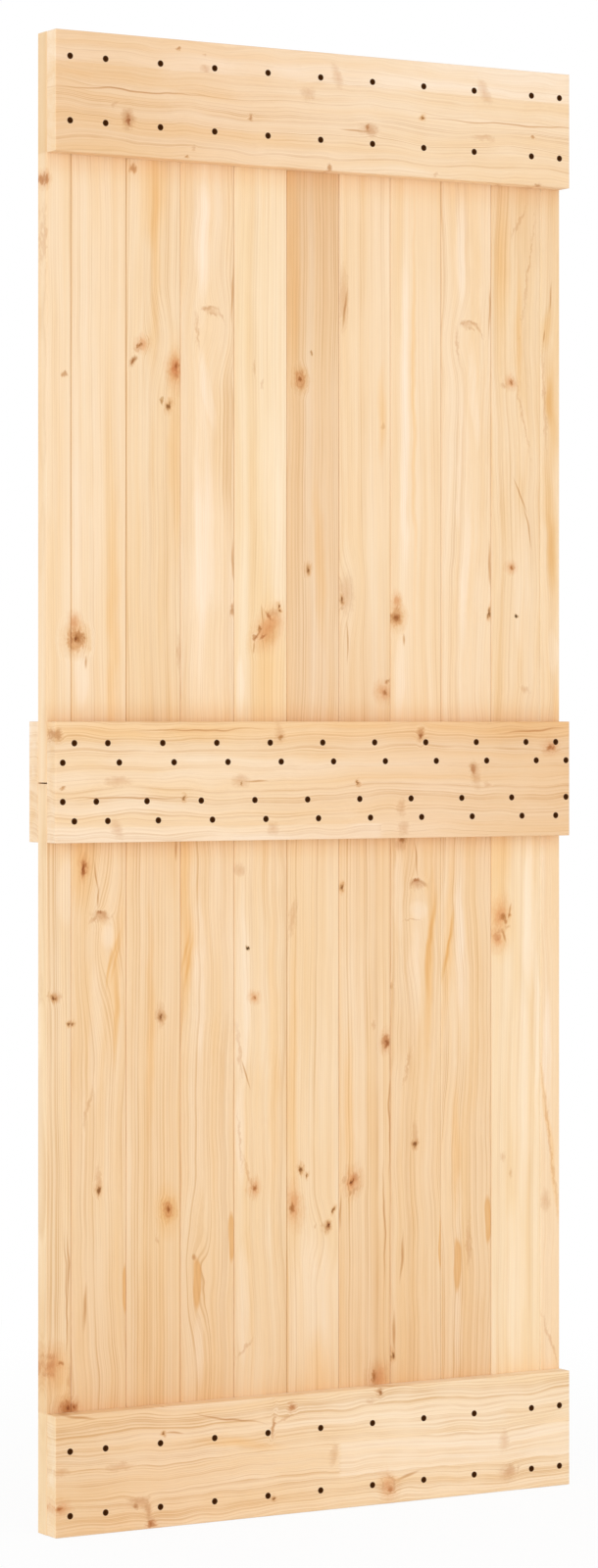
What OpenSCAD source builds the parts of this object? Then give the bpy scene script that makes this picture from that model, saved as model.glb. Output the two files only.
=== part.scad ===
// Sliding door leaf: tongue-and-groove pine boards in two lengths, held by screwed cross rails.
// Millimetres. X runs across the leaf, Y from its front to its back, Z up.
// The origin is the middle of the bottom edge, halfway through the thickness of the boards.

/* [Leaf] */
// Width of the leaf
leaf_w = 850; // [600:5:1200]
// Height of the leaf
leaf_h = 2080; // [1800:10:2400]
// Gap between the upper and the lower boards, behind the middle rail
half_gap = 2; // [1:0.5:6]

/* [Boards] */
// Thickness of a board
board_t = 27; // [21:0.5:40]
// Width of face that a full board covers
cover_w = 86.5; // [75:0.5:120]
// How far the run of full boards sits to the right of the middle
run_shift = 2.25; // [-6:0.25:6]
// Narrowest board that may be left at a side of the leaf
side_board_min = 31; // [31:0.5:40]
// Gap between the shoulders of two boards
shoulder_gap = 0.4; // [0.2:0.1:1]
// Bevel on the long edges of a board, which draws the seams as fine lines
seam_bevel = 1; // [0.5:0.25:3]

/* [Tongue and groove] */
// How far a tongue stands out of its board
tongue_l = 6; // [4:0.25:8]
// Thickness of a tongue
tongue_t = 7; // [5:0.5:9]
// Bevel on the tip of a tongue
tongue_bevel = 1; // [0.5:0.25:2]
// Room between a tongue and the walls of its groove
tongue_play = 0.3; // [0.1:0.1:0.5]

/* [Rails] */
// Height of a rail
rail_h = 168; // [140:2:240]
// Thickness of a rail
rail_t = 27; // [21:0.5:40]
// Radius of a rail's eased edges
ease_r = 1.5; // [0.5:0.25:3]
// How far the middle rails sit above the middle of the leaf
middle_lift = 1.5; // [0:0.5:5]

/* [Screws] */
// Diameter of a head
head_d = 7.6; // [7:0.1:9]
// Height of the straight rim of a head
rim_h = 0.4; // [0.2:0.1:0.8]
// Depth of a head below the face of its rail
head_sink = 0.3; // [0.1:0.1:1]
// Diameter of the plain shank under a head
shank_d = 3.2; // [2.5:0.1:3.9]
// Diameter over the thread
thread_d = 4; // [3.5:0.1:5]
// Length of the point
point_l = 5; // [3:0.5:8]
// How far a screw reaches into the last piece that it holds
bite = 18; // [12:0.5:25]
// Room round a thread in the hole drilled for it
drill_play = 0.15; // [0.05:0.05:0.3]
// Width across the cross recess of a head
recess_span = 4.4; // [3:0.1:5]
// Width of one slot of the cross recess
recess_w = 1.1; // [0.8:0.1:1.4]
// Depth of the cross recess
recess_depth = 1.4; // [1:0.1:1.6]

/* [Screw rows] */
// Distance between the two rows of the top rail, and of the bottom rail
row_pitch = 89; // [60:1:110]
// Distance from the top edge of the leaf down to its first row
top_row_drop = 36; // [20:1:60]
// Distance from the bottom edge of the leaf up to its first row
bottom_row_rise = 29; // [20:1:60]
// Distance between two rows of the middle rail, and from its middle to the nearest row
middle_row_pitch = 27; // [15:1:35]
// Place of the screws in the top and bottom rails, from the middle of each board
outer_offset = -3.5; // [-10:0.5:10]
// The same on the last full board
last_offset = 9.5; // [-10:0.5:15]
// Place of the screws in the lower rows of the middle rail, from the middle of each board
lower_offset = -7; // [-12:0.5:12]
// How far the inner rows of the middle rail step sideways
stagger = 18; // [10:0.5:20]
// Distance from the seam of a side board to its screws in the top and bottom rails
side_margin = 15.5; // [12:0.5:24]
// Wood between the groove of a side board and its nearest screw hole
groove_wall = 0.3; // [0.2:0.1:2]

/* [Hidden] */
full_count = floor((leaf_w - 2 * (side_board_min + abs(run_shift))) / cover_w);
board_count = full_count + 2;
run_left = run_shift - full_count * cover_w / 2;
board_h = (leaf_h - half_gap) / 2;
groove_l = tongue_l + tongue_play;
groove_t = tongue_t + 2 * tongue_play;
seam_margin = shoulder_gap / 2 + groove_l + groove_wall + drill_play + thread_d / 2;
front_y = -board_t / 2 - rail_t;
middle_z = leaf_h / 2 + middle_lift;
top_rail_z = leaf_h - rail_h;
middle_rail_z = middle_z - rail_h / 2;
short_l = rail_t + bite;
long_l = rail_t + board_t + bite;
top_rows = [leaf_h - top_row_drop - row_pitch, leaf_h - top_row_drop];
bottom_rows = [bottom_row_rise, bottom_row_rise + row_pitch];
upper_rows = [middle_z + middle_row_pitch, middle_z + 2 * middle_row_pitch];
lower_rows = [middle_z - middle_row_pitch, middle_z - 2 * middle_row_pitch];
cut_extra = 1;
$fn = 48;

board_numbers = [for (k = [1 : board_count]) k];
upper_names = [for (k = board_numbers) str("upper_board_", k)];
lower_names = [for (k = board_numbers) str("lower_board_", k)];
RAILS = ["top_rail", "middle_rail_front", "middle_rail_back", "bottom_rail"];
SCREWS = ["top_rail_screws", "middle_rail_screws", "bottom_rail_screws"];

// Left and right side of a board, measured to the middle of its seams
function board_left(k) = k == 1 ? -leaf_w / 2 : run_left + (k - 2) * cover_w;
function board_right(k) = k == board_count ? leaf_w / 2 : run_left + (k - 1) * cover_w;
function board_middle(k) = (board_left(k) + board_right(k)) / 2;

// Places of one board's screws across the leaf
function outer_x(k) =
    k == 1 ? board_right(k) - side_margin :
    k == board_count ? board_left(k) + side_margin :
    board_middle(k) + (k == board_count - 1 ? last_offset : outer_offset);
function plain_x(k, offset) =
    k == 1 ? board_right(k) - seam_margin :
    k == board_count ? board_left(k) + seam_margin :
    board_middle(k) + (k == 2 ? 0 : offset);
function upper_x(k, inner) = plain_x(k, 0) + (inner ? (k == 1 ? -stagger : stagger) : 0);
function lower_x(k, inner) =
    plain_x(k, lower_offset) + (inner ? (k == board_count ? stagger : -stagger) : 0);

// Places [x, z] of the screws of one board in each rail
function row_points(k, rows) = [for (z = rows) [outer_x(k), z]];
function upper_points(k) = [for (i = [0, 1]) [upper_x(k, i == 0), upper_rows[i]]];
function lower_points(k) = [for (i = [0, 1]) [lower_x(k, i == 0), lower_rows[i]]];

// Places of all the screws of a rail
top_points = [for (k = board_numbers) each row_points(k, top_rows)];
bottom_points = [for (k = board_numbers) each row_points(k, bottom_rows)];
middle_points = [for (k = board_numbers) each concat(upper_points(k), lower_points(k))];

// Puts a piece that points along +Z at each place, pointing from the front face to the back
module at_points(points, y = front_y) {
    for (p = points) translate([p[0], y, p[1]]) rotate([-90, 0, 0]) children();
}

// Cross-section of a board between its seams, seen from above
module board_section(left, right, groove, tongue) {
    half_t = board_t / 2;
    b = seam_bevel;
    difference() {
        union() {
            polygon([
                [left, -half_t + b], [left + b, -half_t], [right - b, -half_t], [right, -half_t + b],
                [right, half_t - b], [right - b, half_t], [left + b, half_t], [left, half_t - b]
            ]);
            if (tongue) translate([right, 0]) tongue_section();
        }
        if (groove) translate([left - cut_extra, -groove_t / 2]) square([groove_l + cut_extra, groove_t]);
    }
}

// Cross-section of a tongue, from inside its board to its bevelled tip
module tongue_section() {
    half_t = tongue_t / 2;
    b = tongue_bevel;
    polygon([
        [-cut_extra, -half_t], [tongue_l - b, -half_t], [tongue_l, -half_t + b],
        [tongue_l, half_t - b], [tongue_l - b, half_t], [-cut_extra, half_t]
    ]);
}

// Board of one half of the leaf: a groove on its left, a tongue on its right, plain at the leaf's sides
module board(k) {
    first = k == 1;
    last = k == board_count;
    left = board_left(k) + (first ? 0 : shoulder_gap / 2);
    right = board_right(k) - (last ? 0 : shoulder_gap / 2);
    linear_extrude(height = board_h) board_section(left, right, !first, !last);
}

// Hole drilled for the thread of a screw, from the front face of the leaf to the screw's end
module drilled_hole(length) {
    cylinder(h = length + drill_play, d = thread_d + 2 * drill_play);
}

module upper_board(k) {
    color("burlywood") difference() {
        translate([0, 0, leaf_h - board_h]) board(k);
        at_points(row_points(k, top_rows)) drilled_hole(short_l);
        at_points(upper_points(k)) drilled_hole(long_l);
    }
}

module lower_board(k) {
    color("tan") difference() {
        board(k);
        at_points(row_points(k, bottom_rows)) drilled_hole(short_l);
        at_points(lower_points(k)) drilled_hole(long_l);
    }
}

// Rectangle with round corners, standing on the middle of its lower side
module eased_section(w, h) {
    r = ease_r;
    translate([-w / 2 + r, 0]) square([w - 2 * r, h]);
    translate([-w / 2, r]) square([w, h - 2 * r]);
    for (x = [-w / 2 + r, w / 2 - r], y = [r, h - r]) translate([x, y]) circle(r);
}

// Rail board with every edge eased, from its front face at y = 0 backwards, standing on z = 0
module rail_blank() {
    intersection() {
        translate([0, rail_t, 0]) rotate([90, 0, 0])
            linear_extrude(height = rail_t) eased_section(leaf_w, rail_h);
        linear_extrude(height = rail_h) eased_section(leaf_w, rail_t);
        translate([-leaf_w / 2, rail_t / 2, 0]) rotate([90, 0, 90])
            linear_extrude(height = leaf_w) eased_section(rail_t, rail_h);
    }
}

// Countersunk hole for a screw, from the face of a rail right through it
module countersunk_hole() {
    seat_z = head_sink + rim_h;
    r = thread_d / 2 + drill_play;
    rotate_extrude() polygon([
        [0, -cut_extra], [head_d / 2, -cut_extra], [head_d / 2, seat_z],
        [r, seat_z + head_d / 2 - r], [r, rail_t + cut_extra], [0, rail_t + cut_extra]
    ]);
}

module front_rail(z, points) {
    color("wheat") difference() {
        translate([0, front_y, z]) rail_blank();
        at_points(points) countersunk_hole();
    }
}

module top_rail() {
    front_rail(top_rail_z, top_points);
}

module middle_rail_front() {
    front_rail(middle_rail_z, middle_points);
}

module bottom_rail() {
    front_rail(0, bottom_points);
}

module middle_rail_back() {
    color("wheat") difference() {
        translate([0, board_t / 2, middle_rail_z]) rail_blank();
        at_points(middle_points) drilled_hole(long_l);
    }
}

// Countersunk wood screw along +Z, its head just below z = 0
module screw(length) {
    seat_z = head_sink + rim_h;
    neck_z = seat_z + (head_d - shank_d) / 2;
    thread_z = length - bite;
    thread_r = thread_d / 2;
    difference() {
        rotate_extrude() polygon([
            [0, head_sink], [head_d / 2, head_sink], [head_d / 2, seat_z], [shank_d / 2, neck_z],
            [shank_d / 2, thread_z], [thread_r, thread_z + thread_r - shank_d / 2],
            [thread_r, length - point_l], [0, length]
        ]);
        for (turn = [0, 90]) rotate(turn) translate([-recess_span / 2, -recess_w / 2, 0])
            cube([recess_span, recess_w, head_sink + recess_depth]);
    }
}

module top_rail_screws() {
    color([0.16, 0.11, 0.08]) at_points(top_points) screw(short_l);
}

module middle_rail_screws() {
    color([0.16, 0.11, 0.08]) at_points(middle_points) screw(long_l);
}

module bottom_rail_screws() {
    color([0.16, 0.11, 0.08]) at_points(bottom_points) screw(short_l);
}

for (k = board_numbers) {
    upper_board(k);
    lower_board(k);
}
top_rail();
middle_rail_front();
middle_rail_back();
bottom_rail();
top_rail_screws();
middle_rail_screws();
bottom_rail_screws();
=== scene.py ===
# %% [markdown]
# # A ledged sliding door leaf in knotty pine
# The leaf is a wall of tongue-and-groove boards in two lengths, held flat by wide cross rails.
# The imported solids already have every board, rail and screw, so this lesson leaves their shapes
# alone and spends its effort on the wood: rings, fibres, knots and resin, cut by each board in turn.

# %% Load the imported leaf
import math
import random

import bmesh
import bpy
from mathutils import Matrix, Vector


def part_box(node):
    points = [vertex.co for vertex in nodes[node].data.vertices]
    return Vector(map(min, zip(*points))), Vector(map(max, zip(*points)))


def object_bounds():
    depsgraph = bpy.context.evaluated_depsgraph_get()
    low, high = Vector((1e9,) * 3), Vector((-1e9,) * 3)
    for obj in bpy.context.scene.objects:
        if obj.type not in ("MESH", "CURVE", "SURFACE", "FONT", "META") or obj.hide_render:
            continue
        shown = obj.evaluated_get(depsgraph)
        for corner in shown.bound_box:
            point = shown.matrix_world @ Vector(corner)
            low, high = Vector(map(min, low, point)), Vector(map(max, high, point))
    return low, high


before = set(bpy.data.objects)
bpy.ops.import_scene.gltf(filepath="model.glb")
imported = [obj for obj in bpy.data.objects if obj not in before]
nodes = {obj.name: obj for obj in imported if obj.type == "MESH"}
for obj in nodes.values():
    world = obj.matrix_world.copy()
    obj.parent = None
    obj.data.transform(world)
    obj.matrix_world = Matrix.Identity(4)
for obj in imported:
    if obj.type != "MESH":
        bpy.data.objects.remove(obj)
cad_low, cad_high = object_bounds()
print("loaded", len(nodes), "nodes, box", tuple(cad_low), tuple(cad_high))

# %% [markdown]
# ## The view
# The leaf is seen from its left, a little below the middle of its height, through a long lens.
# A camera can be aimed with a constraint, but a level camera with a vertical shift keeps the
# upright edges parallel, as an architectural photograph does, so its place and turn are given.

# %% Stand the camera
VIEW_ANGLE = math.radians(30.26)
VIEW_DISTANCE = 6.209
SIDE_STEP = 0.032
EYE_HEIGHT = 1.124
LENS = 99.95
SENSOR_WIDTH = 36
SIGHT = 100
PICTURE_HEIGHT = 1600
HORIZON_ABOVE_CENTRE = 62.7

view_data = bpy.data.cameras.new("view")
view_data.lens = LENS
view_data.sensor_width = SENSOR_WIDTH
view_data.shift_y = -HORIZON_ABOVE_CENTRE / PICTURE_HEIGHT
view_data.clip_end = SIGHT
camera = bpy.data.objects.new("view", view_data)
bpy.context.scene.collection.objects.link(camera)
forward = Vector((math.sin(VIEW_ANGLE), math.cos(VIEW_ANGLE), 0))
sideways = Vector((math.cos(VIEW_ANGLE), -math.sin(VIEW_ANGLE), 0))
front_middle = Vector((0, cad_low.y, EYE_HEIGHT))
camera.location = front_middle - forward * VIEW_DISTANCE - sideways * SIDE_STEP
camera.rotation_euler = (math.pi / 2, 0, -VIEW_ANGLE)
bpy.context.scene.camera = camera
print("camera at", tuple(round(v, 3) for v in camera.location))

# %% [markdown]
# ## Writing shader maths as expressions
# Wood needs a lot of arithmetic, and rows of Math nodes are hard to read. A small class holds one
# output socket, and Python's own operators add the Math nodes, so a formula looks like a formula.
# Every other kind of node comes from one method that sets it up and plugs in its sockets.

# %% A value in a material
class Wire:
    """One output socket of a material's nodes."""

    def __init__(self, socket):
        self.socket = socket
        self.tree = socket.id_data

    def add(self, kind, settings=None, sockets=None, out=0):
        """A new node: its settings first, then the values or wires of its sockets."""
        node = self.tree.nodes.new(kind)
        for name, value in (settings or {}).items():
            if name == "stops":
                set_stops(node.color_ramp, value)
            else:
                setattr(node, name, value)
        for name, value in (sockets or {}).items():
            if isinstance(value, Wire):
                self.tree.links.new(value.socket, node.inputs[name])
            else:
                node.inputs[name].default_value = value
        return Wire(node.outputs[out])

    def also(self, out):
        """Another output of the node that this wire comes from."""
        return Wire(self.socket.node.outputs[out])

    def math(self, operation, *values):
        return self.add("ShaderNodeMath", {"operation": operation}, dict(enumerate(values)))

    def vector(self, operation, *values, **sockets):
        inputs = dict(enumerate(values)) | sockets
        out = "Value" if operation in ("LENGTH", "DISTANCE") else 0
        return self.add("ShaderNodeVectorMath", {"operation": operation}, inputs, out)

    def __add__(self, other):
        return self.math("ADD", self, other)

    def __sub__(self, other):
        return self.math("SUBTRACT", self, other)

    def __rsub__(self, other):
        return self.math("SUBTRACT", other, self)

    def __mul__(self, other):
        return self.math("MULTIPLY", self, other)

    def __truediv__(self, other):
        return self.math("DIVIDE", self, other)

    def __rtruediv__(self, other):
        return self.math("DIVIDE", other, self)

    __radd__ = __add__
    __rmul__ = __mul__


print("wires ready")

# %% Colours and materials
def set_stops(ramp, stops):
    """Gives a colour ramp the listed (place, colour) stops."""
    while len(ramp.elements) < len(stops):
        ramp.elements.new(1)
    for element, (place, colour) in zip(ramp.elements, stops):
        element.position = place
        element.color = colour


def blend(base, other, amount, mode="MIX"):
    """Base colour changed towards the other one by a wire or a number."""
    settings = {"data_type": "RGBA", "blend_type": mode}
    return base.add("ShaderNodeMix", settings, {0: amount, 6: base, 7: other}, 2)


def new_material(name):
    """An empty material with its shader node and the object's own coordinates."""
    material = bpy.data.materials.new(name)
    material.use_nodes = True
    tree = material.node_tree
    place = Wire(tree.nodes.new("ShaderNodeTexCoord").outputs["Object"])
    return material, tree.nodes["Principled BSDF"], place


def plug(shader, name, value):
    """Joins a wire to a shader's socket, or sets the socket to a number or colour."""
    if isinstance(value, Wire):
        value.tree.links.new(value.socket, shader.inputs[name])
    else:
        shader.inputs[name].default_value = value


def srgb(r, g, b, alpha=1.0):
    """A colour as picked on screen, with white at 255, turned into the linear light of shaders."""
    def linear(v):
        v = v / 255
        return v / 12.92 if v <= 0.04045 else ((v + 0.055) / 1.055) ** 2.4
    return (linear(r), linear(g), linear(b), alpha)


print("shader helpers ready")

# %% [markdown]
# ## Marks in the wood
# A knot is the foot of a branch: the rings flow round it and its own wood is darker. Resin pockets,
# bark streaks, warm bands and pale bands are marks too, and a few kinds are painted light or painted
# shade. Each kind is a tint that fades from its middle outwards, so one colour ramp tells the whole
# story of a mark, and tints that overlap simply multiply, as coloured glass does.

# %% Kinds of mark
# A stain's ramp ends at this many times the half width of its mark.
FADE_RADII = 3
STRAW_SEEN = (249, 217, 177)


def stain(r, g, b, grain=1.0):
    """The tint that turns straw-coloured wood into a colour, and how much grain shows through it."""
    seen, clean = srgb(r, g, b), srgb(*STRAW_SEEN)
    return tuple(s / c for s, c in zip(seen[:3], clean)) + (grain,)


CLEAR = stain(*STRAW_SEEN)
STAINS = {
    # Knots, from the hardest to the softest.
    "pin": [(0.0, stain(76, 54, 26, 0.0)), (0.28, stain(98, 70, 36, 0.0)), (0.42, stain(206, 164, 116)),
            (0.65, CLEAR)],
    "dark": [(0.0, stain(131, 84, 39, 0.1)), (0.1, stain(153, 102, 53, 0.1)),
             (0.21, stain(191, 140, 87, 0.3)), (0.33, stain(227, 181, 131, 0.7)),
             (0.5, stain(243, 205, 161)), (0.8, CLEAR)],
    "red": [(0.0, stain(180, 118, 70, 0.1)), (0.1, stain(197, 135, 85, 0.2)),
            (0.2, stain(208, 149, 99, 0.3)), (0.27, stain(204, 147, 99, 0.5)),
            (0.35, stain(228, 178, 132)), (0.5, stain(242, 203, 160)), (0.85, CLEAR)],
    "eye": [(0.0, stain(199, 138, 82, 0.2)), (0.1, stain(217, 158, 104, 0.3)),
            (0.2, stain(228, 176, 125, 0.5)), (0.28, stain(219, 163, 110, 0.6)),
            (0.36, stain(234, 187, 138)), (0.45, stain(243, 205, 160)), (0.75, CLEAR)],
    "brown": [(0.0, stain(200, 148, 100, 0.2)), (0.15, stain(212, 162, 114, 0.3)),
              (0.27, stain(216, 168, 121, 0.5)), (0.37, stain(236, 196, 151, 0.8)), (0.6, CLEAR)],
    "core": [(0.0, stain(188, 138, 84, 0.4)), (0.2, stain(210, 164, 112, 0.6)), (0.46, CLEAR)],
    "glow": [(0.0, stain(228, 169, 119, 0.5)), (0.2, stain(234, 182, 134, 0.7)),
             (0.4, stain(243, 203, 159)), (0.75, CLEAR)],
    "faint": [(0.0, stain(233, 191, 148, 0.7)), (0.3, stain(239, 202, 160, 0.8)), (0.54, CLEAR)],
    # Lines and bands that follow the grain.
    "streak": [(0.0, stain(212, 161, 113)), (0.18, stain(224, 179, 131)), (0.42, CLEAR)],
    "resin": [(0.0, stain(241, 194, 137, 0.5)), (0.26, stain(236, 187, 129, 0.5)), (0.36, CLEAR)],
    "amber": [(0.0, stain(242, 199, 145, 0.7)), (0.2, stain(243, 203, 152, 0.8)), (0.52, CLEAR)],
    "warm": [(0.0, stain(247, 205, 152)), (0.3, stain(248, 209, 160)), (0.7, CLEAR)],
    "pale": [(0.0, stain(252, 225, 192, 0.8)), (0.28, stain(252, 223, 188, 0.8)), (0.42, CLEAR)],
    "light": [(0.0, stain(251, 221, 184, 0.9)), (0.28, stain(250, 220, 182, 0.9)), (0.5, CLEAR)],
    # The first kind is painted shade, darkening a board towards the edge of a rail. The others are tones
    # of a whole stretch of a piece, and of one strip that a rail is glued up from.
    "heart": [(0.0, stain(242, 206, 163)), (0.18, stain(244, 209, 167)), (0.47, stain(246, 212, 170)),
              (0.76, stain(248, 216, 175)), (1.0, CLEAR)],
    "tan": [(0.0, stain(240, 199, 153)), (0.12, stain(241, 202, 157)), (0.22, stain(245, 208, 166)),
            (0.46, CLEAR)],
    "strip": [(0.326, stain(252, 224, 190, 0.7)), (0.338, CLEAR)],
    # Sawn ends, planed sides and bevels of seams, paler or browner than the face beside them. The two
    # paler kinds are painted light: lighter left ends and left side, as the lamp on the left would make
    # them, and seams lightened against their own shade.
    "bare": [(0.326, stain(257, 233, 198, 0.4)), (0.338, CLEAR)],
    "planed": [(0.326, stain(252, 222, 183, 0.5)), (0.338, CLEAR)],
    "sawn": [(0.326, stain(240, 204, 158, 0.6)), (0.338, CLEAR)],
}
# The bands beside the rails use the heart ramp: painted shade in the corners by the rails.
STAINS["corner"] = STAINS["heart"]
print("kinds of stain:", len(STAINS))

# %% How marks meet the grain
# Kinds that sway with the grain, and kinds with straight, crisp edges.
FLOWING = {"streak", "resin", "amber", "warm", "pale", "light", "heart", "corner", "tan", "swirl"}
SHARP = {"strip", "bare", "planed", "sawn"}

# How far a kind pushes the grain aside, and how many rings close round it. A swirl does only this.
PUSH = {"dark": 0.7, "red": 0.8, "eye": 0.8, "brown": 0.6, "glow": 0.3, "swirl": 0.4}
LIFT = {"dark": 0.6, "red": 1.0, "eye": 1.2, "brown": 0.6, "glow": 0.5, "faint": 0.4, "swirl": 3.0}

# How far the rings of a glued strip are out of step with the rest of its rail, in millimetres.
STRIP_STEP = 47.0
print("kinds that push the grain:", len(PUSH), "and kinds that close rings:", len(LIFT))

# %% [markdown]
# ## Marks of the boards
# Every mark is written as its kind, its place across the leaf and in height, its size across and in
# height, and sometimes how far it is turned clockwise, in millimetres and degrees. Marks could be
# strewn by chance, but a few knots give each real board its face, so they are listed one by one.

# %% Marks of the upper boards
# A width or length that spans a whole piece.
WIDE = 2000
# Heart marks lie at the edges of the rails and darken the boards towards them: painted shade.
MARKS = {
    "upper_board_1": [
        ("brown", -397, 1607, 6, 5), ("eye", -380, 1239, 26, 27), ("glow", -382, 1263, 15, 18),
        ("red", -427, 1876, 8, 14), ("faint", -427, 1795, 4, 70), ("sawn", -425, 1996, 1, 168),
        ("light", -404, 1520, 36, 900), ("sawn", -387, 1520, 2.4, 800)],
    "upper_board_2": [
        ("sawn", -387, 1520, 2.4, 800), ("sawn", -300.5, 1520, 2.4, 800), ("eye", -380, 1239, 26, 27),
        ("core", -377, 1241, 16, 17), ("core", -381, 1239, 6, 9), ("glow", -382, 1263, 15, 18),
        ("streak", -365, 1207, 4, 16), ("light", -362, 1700, 18, 420), ("light", -372, 1380, 24, 320),
        ("pale", -372, 1190, 20, 90), ("warm", -322, 1230, 12, 240)],
    "upper_board_3": [
        ("sawn", -300.5, 1520, 2.4, 800), ("brown", -290, 1898, 8, 9, -20), ("warm", -257, 1866, 32, 84),
        ("warm", -254, 1780, 10, 150), ("glow", -276, 1654, 14, 16, 30), ("core", -280, 1652, 5, 6),
        ("faint", -282, 1646, 8, 5), ("brown", -290, 1629, 7, 12, 25), ("core", -290, 1629, 4, 8, 25),
        ("glow", -223, 1619, 18, 36), ("glow", -221, 1624, 13, 19), ("core", -220, 1625, 7, 8),
        ("faint", -220, 1612, 6, 6), ("core", -244, 1576, 5, 9), ("dark", -233, 1569, 7, 13, 20),
        ("warm", -222, 1500, 14, 190), ("swirl", -252, 1660, 30, 60), ("faint", -217, 1220, 5, 40)],
    "upper_board_4": [
        ("swirl", -167, 1682, 40, 60), ("faint", -176, 1709, 14, 4, -25),
        ("faint", -162, 1711, 16, 3, 15), ("faint", -165, 1705, 18, 9, 15),
        ("faint", -171, 1709, 9, 5, -15), ("faint", -148, 1699, 3, 20, -30),
        ("faint", -162, 1700, 12, 3, 10), ("faint", -187, 1676, 4, 40, -4),
        ("pale", -179, 1805, 26, 140), ("pale", -170, 1590, 16, 110, -11), ("pale", -165, 1300, 70, 320),
        ("pale", -178, 1430, 30, 330), ("streak", -131, 1730, 3, 80), ("streak", -131, 1352, 4, 64),
        ("brown", -130, 1284, 4, 14)],
    "upper_board_5": [
        ("faint", -95, 1628, 4, 16), ("faint", -81, 1606, 4, 12), ("glow", -72, 1260, 24, 46, 40),
        ("streak", -82, 1278, 2.5, 26, -5), ("streak", -90, 1250, 3, 24, 38),
        ("streak", -97, 1230, 2.5, 20, 5), ("brown", -94, 1245, 5, 7, 30),
        ("brown", -81, 1246, 10, 4, -30), ("core", -86, 1257, 6, 8, 20),
        ("brown", -72, 1276, 5, 12, -35), ("dark", -55, 1289, 4, 7, -20), ("dark", -52, 1284, 6, 3),
        ("faint", -64, 1281, 14, 9), ("tan", -68, 1250, 36, 56, 35), ("warm", -66, 1205, 34, 110),
        ("light", -113, 1500, 18, 520), ("light", -70, 1460, 40, 200), ("pale", -119, 1170, 12, 80)],
    "upper_board_6": [
        ("eye", -19, 1614, 16, 22), ("core", -20, 1614, 5, 6), ("core", -1, 1654, 5, 7),
        ("dark", -7, 1343, 8, 12), ("warm", -32, 1780, 14, 240), ("warm", 12, 1350, 12, 130, -3),
        ("light", -2, 1600, 14, 420), ("heart", 0, 1900, WIDE, 220), ("light", 2, 1240, 70, 200)],
    "upper_board_7": [
        ("faint", 53, 1735, 12, 70), ("streak", 55, 1720, 4, 50, 6), ("faint", 118, 1553, 5, 8),
        ("warm", 118, 1570, 8, 80), ("dark", 50, 1301, 6, 9), ("faint", 50, 1289, 5, 4),
        ("faint", 57, 1309, 22, 44), ("streak", 58, 1240, 3, 60), ("glow", 121, 1168, 20, 20),
        ("core", 122, 1168, 7, 7), ("brown", 127, 1183, 5, 5), ("swirl", 60, 1310, 26, 60),
        ("heart", 88, 1110, WIDE, 220)],
    "upper_board_8": [
        ("eye", 142, 1277, 19, 25), ("core", 141, 1276, 13, 13), ("glow", 143, 1301, 11, 16),
        ("streak", 153, 1243, 4, 18), ("pale", 155, 1560, 14, 420), ("light", 148, 1400, 18, 200),
        ("pale", 146, 1190, 16, 110), ("warm", 172, 1560, 5, 360), ("light", 178, 1680, 70, 240)],
    "upper_board_9": [
        ("swirl", 265, 1682, 40, 60), ("faint", 256, 1708, 14, 4, -25), ("faint", 270, 1710, 18, 3, 15),
        ("faint", 262, 1706, 18, 10), ("faint", 276, 1706, 14, 4, 25), ("faint", 285, 1697, 3, 20, -30),
        ("faint", 270, 1699, 12, 3, 10), ("faint", 246, 1674, 4, 40, -4), ("pale", 252, 1820, 18, 140),
        ("pale", 276, 1600, 14, 140, -4), ("pale", 256, 1430, 20, 340), ("streak", 302, 1730, 3, 80),
        ("streak", 301, 1355, 5, 70), ("dark", 302, 1284, 4, 16, 8)],
    # The pale marks on the seam of the last two boards are painted light, lifting it out of its shade.
    "upper_board_10": [
        ("bare", 391.5, 1520, 2.4, 800), ("glow", 339, 1624, 14, 14), ("core", 340, 1624, 7, 7),
        ("faint", 327, 1618, 8, 7), ("glow", 339, 1352, 13, 12), ("core", 340, 1352, 7, 6),
        ("pin", 349, 1280, 4, 4), ("warm", 354, 1700, 7, 110), ("pale", 362, 1540, 14, 110),
        ("pale", 356, 1330, 22, 190), ("streak", 356, 1460, 3, 50, -25),
        ("streak", 368, 1415, 3, 60, -12), ("faint", 364, 1172, 14, 8, 30),
        ("faint", 355, 1862, 4, 40, 30), ("warm", 322, 1800, 20, 120), ("faint", 369, 1785, 3, 130, 8),
        ("faint", 360, 1575, 3, 90, -13), ("heart", 348, 1960, WIDE, 200)],
    "upper_board_11": [
        ("bare", 391.5, 1520, 2.4, 800), ("amber", 403, 1706, 16, 58, 10),
        ("streak", 398, 1694, 2.5, 20, 10), ("streak", 409, 1752, 3, 42, 3),
        ("amber", 412, 1585, 16, 140, -3), ("amber", 409, 1410, 18, 190, -3),
        ("faint", 398, 1600, 4, 110, -3), ("warm", 420, 1150, 8, 50), ("pale", 412, 1230, 16, 60),
        ("amber", 408, 1372, 14, 90, -2), ("amber", 408, 1600, 10, 50), ("heart", 408, 1950, WIDE, 200)],
}
print("marks on the upper boards:", sum(len(marks) for marks in MARKS.values()))
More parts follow.
